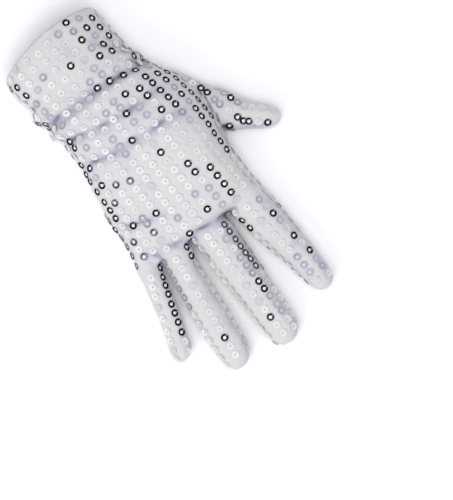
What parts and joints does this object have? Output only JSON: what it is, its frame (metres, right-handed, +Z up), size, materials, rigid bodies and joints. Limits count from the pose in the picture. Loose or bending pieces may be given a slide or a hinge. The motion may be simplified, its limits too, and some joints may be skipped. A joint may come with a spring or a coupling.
{
  "type": "sequin glove",
  "caption": "Wrist-length stretch-knit dress glove for a right hand, covered in cup sequins, hollow from its cuff to the fingertips and lying palm down.",
  "frame": {"origin": "on the surface that the glove lies on, under the middle of its bounding box", "axes": "+Y from the cuff towards the fingertips, +X from the thumb towards the little finger, +Z up from the palm to the back of the hand"},
  "size_m": [0.143, 0.2435, 0.0346],
  "materials": {
    "knit": "fine stretch knit, matt",
    "sequins": "polished silver film",
    "thread": "fine sewing thread"
  },
  "bodies": {
    "root": {"back_panel": "knit", "palm_panel": "knit", "thumb": "knit", "cuff_hem": "knit"}
  },
  "joints": []
}
